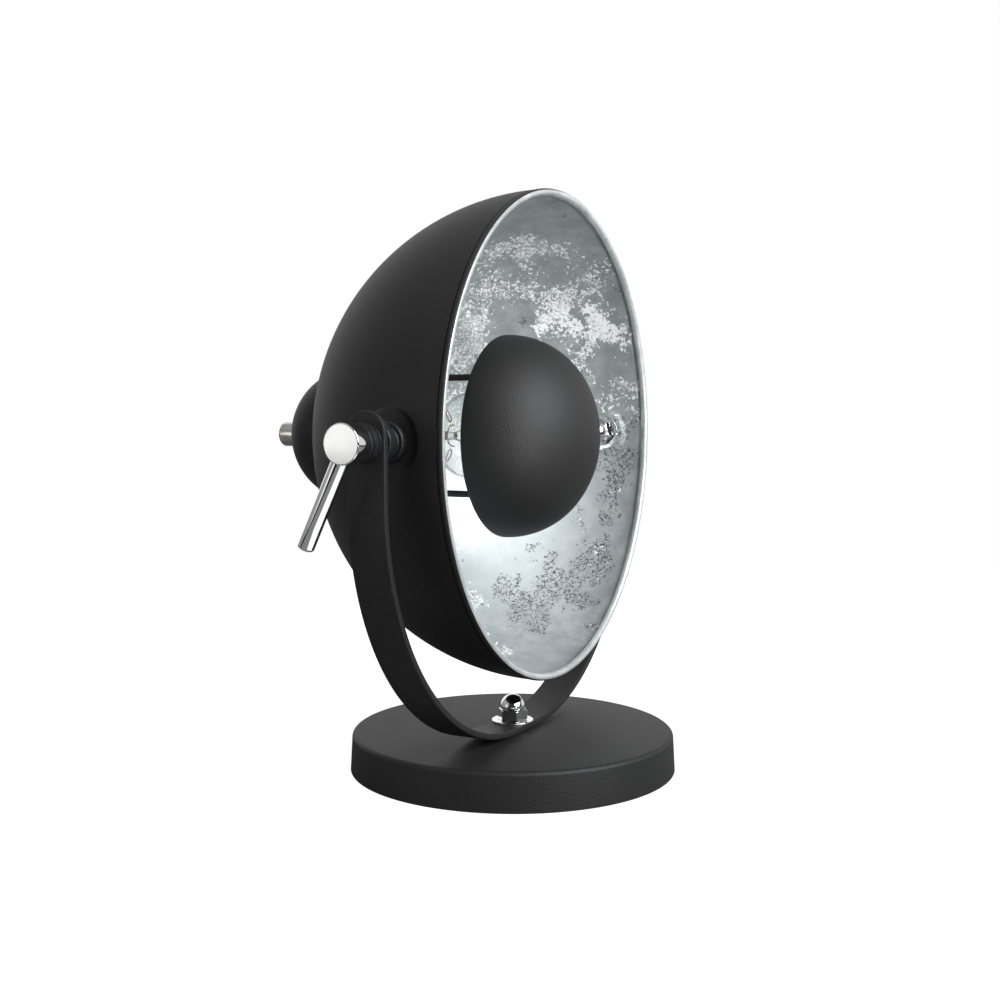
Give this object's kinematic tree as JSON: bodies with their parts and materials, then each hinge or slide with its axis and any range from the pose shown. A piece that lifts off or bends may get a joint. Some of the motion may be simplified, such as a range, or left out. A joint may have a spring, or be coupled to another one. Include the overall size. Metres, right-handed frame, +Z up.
{
  "type": "tabletop searchlight lamp",
  "caption": "Round-based table lamp with a bowl-shaped head that tilts in a bent strap yoke, clamped by side levers, with a small dome hiding the bulb.",
  "frame": {"origin": "centre of the underside of the base, on the surface the lamp stands on", "axes": "+Z up; the shade's mouth faces -Y and its cord outlet +Y; the tilt axis is parallel to X, 163 mm up"},
  "size_m": [0.2978, 0.2165, 0.2794],
  "materials": {
    "black_paint": "matte",
    "iron_weight": "matte",
    "pad": "matte",
    "zinc_steel": "satin",
    "chrome": "polished",
    "black_plastic": "matte",
    "clear_washer": "gloss",
    "white_holder": "gloss",
    "brass": "satin",
    "bulb_shell": "satin",
    "black_glass": "gloss",
    "clear_glass": "gloss"
  },
  "bodies": {
    "base": {"base_cover": "black_paint", "base_weight": "iron_weight", "base_pad": "pad", "base_bolt": "zinc_steel", "swivel_washer": "clear_washer", "base_washer": "chrome", "base_dome_nut": "chrome"},
    "yoke": {"yoke": "black_paint", "left_hub": "black_plastic", "right_hub": "black_plastic", "left_friction_washer": "black_plastic", "right_friction_washer": "black_plastic"},
    "head": {"shade": "black_paint", "left_spacer": "black_plastic", "right_spacer": "black_plastic", "left_pivot_stud": "zinc_steel", "right_pivot_stud": "zinc_steel", "left_inner_washer": "chrome", "right_inner_washer": "chrome", "left_inner_nut": "chrome", "right_inner_nut": "chrome", "rear_cap": "black_paint", "threaded_tube": "zinc_steel", "tube_nut": "zinc_steel", "cord_gland": "chrome", "holder_bracket": "black_paint", "upper_dome_rod": "black_paint", "lower_dome_rod": "black_paint", "rod_nuts": "zinc_steel", "glare_dome": "black_paint", "lamp_holder": "white_holder", "screw_shell": "brass", "centre_contact": "brass", "holder_screws": "zinc_steel", "bulb_glass": "clear_glass", "bulb_cap": "bulb_shell", "bulb_contact": "black_glass", "bulb_stem": "clear_glass", "filament": "brass"},
    "left_lever": {"left_lever_head": "chrome", "left_lever_rod": "chrome"},
    "right_lever": {"right_lever_head": "chrome", "right_lever_rod": "chrome"}
  },
  "joints": [
    {"name": "yoke_swivel", "type": "hinge", "parent": "base", "child": "yoke", "pos_m": [0, 0, 0.0205], "axis": [0, 0, 1], "continuous": true},
    {"name": "head_tilt", "type": "hinge", "parent": "yoke", "child": "head", "pos_m": [0, 0, 0.163], "axis": [1, 0, 0], "range_deg": [-75, 90]},
    {"name": "left_lever_turn", "type": "hinge", "parent": "yoke", "child": "left_lever", "pos_m": [-0.1442, 0, 0.163], "axis": [-1, 0, 0], "range_deg": [0, 180]},
    {"name": "right_lever_turn", "type": "hinge", "parent": "yoke", "child": "right_lever", "pos_m": [0.1442, 0, 0.163], "axis": [1, 0, 0], "range_deg": [0, 180]}
  ]
}
